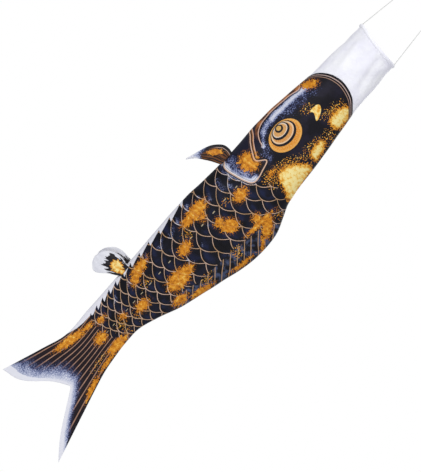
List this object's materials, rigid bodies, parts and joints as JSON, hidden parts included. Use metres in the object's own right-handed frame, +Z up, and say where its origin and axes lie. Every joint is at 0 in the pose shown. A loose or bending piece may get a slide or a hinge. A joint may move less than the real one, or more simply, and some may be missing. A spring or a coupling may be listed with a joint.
{
  "type": "carp streamer",
  "caption": "Carp-shaped cloth windsock with an open hooped mouth, sewn fins and a forked tail, hung from a swivel snap hook by a two-legged cord bridle.",
  "frame": {"origin": "where the snap hook bears on what carries it, inside the top of its bow", "axes": "+Z up along the hanging streamer towards the hook, +X to the fish's back, -X to its belly, -Y to its left flank"},
  "size_m": [0.2333, 0.1046, 1.2718],
  "materials": {
    "printed_nylon": "thin nylon printed in black, navy and gold, slightly glossy",
    "fin_nylon": "thin nylon printed in black with white and gold",
    "white_nylon": "unprinted white nylon, slightly translucent",
    "cord": "braided white cord",
    "hoop_plastic": "white plastic-coated hoop",
    "steel": "bright plated steel"
  },
  "bodies": {
    "hanger": {"snap_hook": "steel", "gate_pin": "steel", "gate_spring": "steel"},
    "gate": {"gate": "steel"},
    "swivel": {"swivel_eye": "steel"},
    "spreader": {"bridle_spreader": "steel"},
    "bridle": {"hitch_chin": "cord", "hitch_nape": "cord", "bridle_cord_chin": "cord", "bridle_cord_nape": "cord", "knot_chin": "cord", "knot_nape": "cord"},
    "head": {"mouth_hoop": "hoop_plastic", "hoop_joiner": "hoop_plastic", "mouth_hem_left": "white_nylon", "mouth_hem_right": "white_nylon", "mouth_sleeve_left": "white_nylon", "mouth_sleeve_right": "white_nylon", "head_panel_left": "printed_nylon", "head_panel_right": "printed_nylon", "hoop_loop_chin": "cord", "hoop_loop_nape": "cord"},
    "flank": {"flank_panel_left": "printed_nylon", "flank_panel_right": "printed_nylon"},
    "rear": {"rear_panel_left": "printed_nylon", "rear_panel_right": "printed_nylon"},
    "tail": {"tail_panel_left": "printed_nylon", "tail_panel_right": "printed_nylon"},
    "pectoral_left": {"pectoral_fin_left": "fin_nylon"},
    "pectoral_right": {"pectoral_fin_right": "fin_nylon"},
    "pelvic_left": {"pelvic_fin_left": "fin_nylon"},
    "pelvic_right": {"pelvic_fin_right": "fin_nylon"}
  },
  "joints": [
    {"name": "gate_open", "type": "hinge", "parent": "hanger", "child": "gate", "pos_m": [-0.0086, 0, -0.0225], "axis": [0, 1, 0], "range_deg": [0, 35], "stiffness_Nm_per_rad": 0.004, "springref_deg": -34.38},
    {"name": "swivel_spin", "type": "hinge", "parent": "hanger", "child": "swivel", "pos_m": [0, 0, -0.0271], "axis": [0, 0, 1], "continuous": true},
    {"name": "spreader_swing", "type": "hinge", "parent": "swivel", "child": "spreader", "pos_m": [0, 0, -0.04215], "axis": [0, 1, 0], "range_deg": [-95, 60]},
    {"name": "bridle_sway", "type": "hinge", "parent": "spreader", "child": "bridle", "pos_m": [0, 0, -0.07615], "axis": [1, 0, 0], "range_deg": [-60, 60]},
    {"name": "mouth_yaw", "type": "hinge", "parent": "bridle", "child": "head", "pos_m": [-0.0037, 0, -0.27115], "axis": [0.9884, 0, -0.1519], "range_deg": [-35, 35]},
    {"name": "head_bend", "type": "hinge", "parent": "head", "child": "flank", "pos_m": [0.01707, 0, -0.66273], "axis": [0.9996, 0, 0.0279], "range_deg": [-18, 18]},
    {"name": "rear_bend", "type": "hinge", "parent": "flank", "child": "rear", "pos_m": [0.00573, 0, -0.84511], "axis": [0.9996, 0, 0.0279], "range_deg": [-22, 22]},
    {"name": "tail_bend", "type": "hinge", "parent": "rear", "child": "tail", "pos_m": [-0.01339, 0, -0.99371], "axis": [0.9996, 0, 0.0279], "range_deg": [-28, 28]},
    {"name": "pectoral_left_flap", "type": "hinge", "parent": "head", "child": "pectoral_left", "pos_m": [-0.06505, -0.01473, -0.625], "axis": [-0.0139, -0.0008, 0.9999], "range_deg": [-12, 40]},
    {"name": "pelvic_left_flap", "type": "hinge", "parent": "rear", "child": "pelvic_left", "pos_m": [-0.05903, -0.01071, -0.914], "axis": [-0.0465, -0.0656, 0.9968], "range_deg": [-6, 40]},
    {"name": "pectoral_right_flap", "type": "hinge", "parent": "head", "child": "pectoral_right", "pos_m": [-0.06505, 0.01473, -0.625], "axis": [0.0139, -0.0008, -0.9999], "range_deg": [-12, 40]},
    {"name": "pelvic_right_flap", "type": "hinge", "parent": "rear", "child": "pelvic_right", "pos_m": [-0.05952, 0.01135, -0.904], "axis": [0.0473, -0.0627, -0.9969], "range_deg": [-6, 40]}
  ]
}
